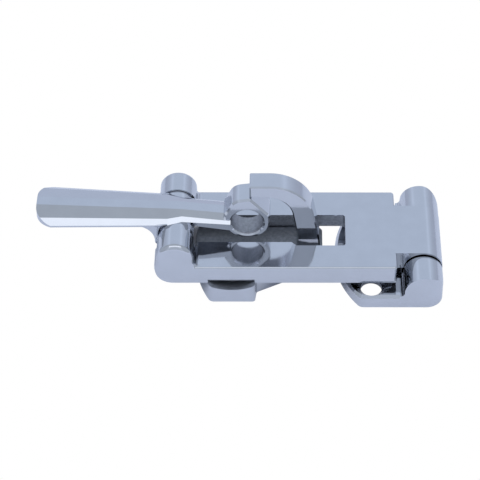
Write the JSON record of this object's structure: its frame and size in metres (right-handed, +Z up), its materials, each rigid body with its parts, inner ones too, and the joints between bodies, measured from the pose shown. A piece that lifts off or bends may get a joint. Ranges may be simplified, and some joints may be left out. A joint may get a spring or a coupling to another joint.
{
  "type": "over centre toggle latch",
  "caption": "Over centre hold down latch: hinged slotted hasp, forked lever with a padlock eye and cam, and a screw down keeper whose hook holds the cam.",
  "frame": {"origin": "on the mounting surface, midway between the two screw holes of the hinge leaf", "axes": "+X from the handle towards the hinge, +Y across the latch to the rear, +Z up from the mounting surface"},
  "size_m": [0.1004, 0.034, 0.027],
  "materials": {
    "polished_stainless": "cast and mirror polished",
    "pin_stainless": "ground"
  },
  "bodies": {
    "leaf": {"hinge_leaf": "polished_stainless", "hinge_pin": "pin_stainless"},
    "hasp": {"hasp": "polished_stainless", "lever_pin": "pin_stainless"},
    "lever": {"lever": "polished_stainless"},
    "keeper": {"keeper": "polished_stainless"}
  },
  "joints": [
    {"name": "hasp_hinge", "type": "hinge", "parent": "leaf", "child": "hasp", "pos_m": [0.0128, 0, 0.0049], "axis": [0, 1, 0], "range_deg": [0, 105]},
    {"name": "lever_pivot", "type": "hinge", "parent": "hasp", "child": "lever", "pos_m": [-0.0484, 0, 0.013], "axis": [0, 1, 0], "range_deg": [0, 105]},
    {"name": "keeper_release", "type": "slide", "parent": "hasp", "child": "keeper", "axis": [0, 0, -1], "range_m": [0, 0.033]}
  ],
  "couplings": [
    {"joint": "keeper_release", "follows": "lever_pivot", "m_per_rad": 0.017189}
  ]
}
